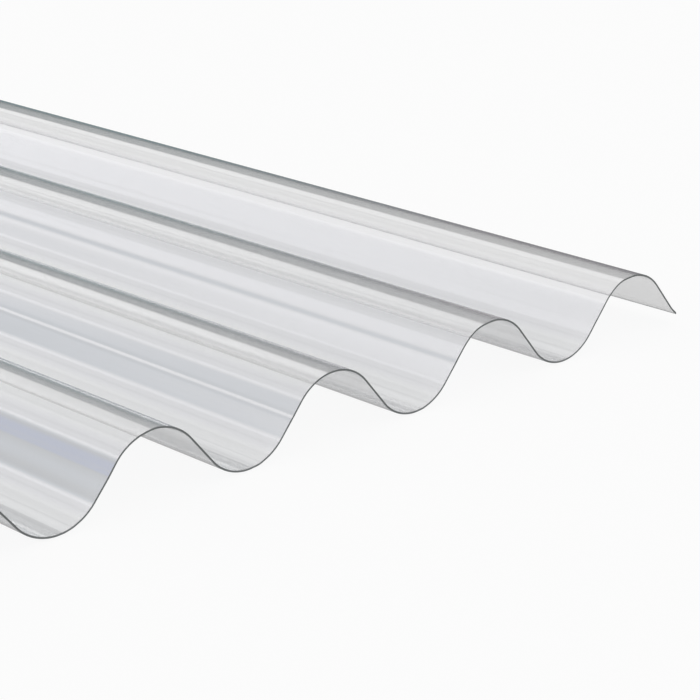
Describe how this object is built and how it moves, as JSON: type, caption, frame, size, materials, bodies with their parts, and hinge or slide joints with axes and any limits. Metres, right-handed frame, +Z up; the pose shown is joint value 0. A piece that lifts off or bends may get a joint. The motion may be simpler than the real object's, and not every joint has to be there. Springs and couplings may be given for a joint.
{
  "type": "corrugated polycarbonate sheet",
  "caption": "Clear corrugated polycarbonate rooflight sheet of round-crested section, cut square at both ends, lying flat on its troughs.",
  "frame": {"origin": "middle of the footprint, at the level of the undersides of the troughs", "axes": "+X across the corrugations towards the edge that is turned down, +Y along the corrugations, +Z up out of the sheet"},
  "size_m": [1.086, 2.44, 0.048],
  "materials": {
    "polycarbonate": "clear, glossy both sides"
  },
  "bodies": {
    "root": {"corrugated_sheet": "polycarbonate"}
  },
  "joints": []
}
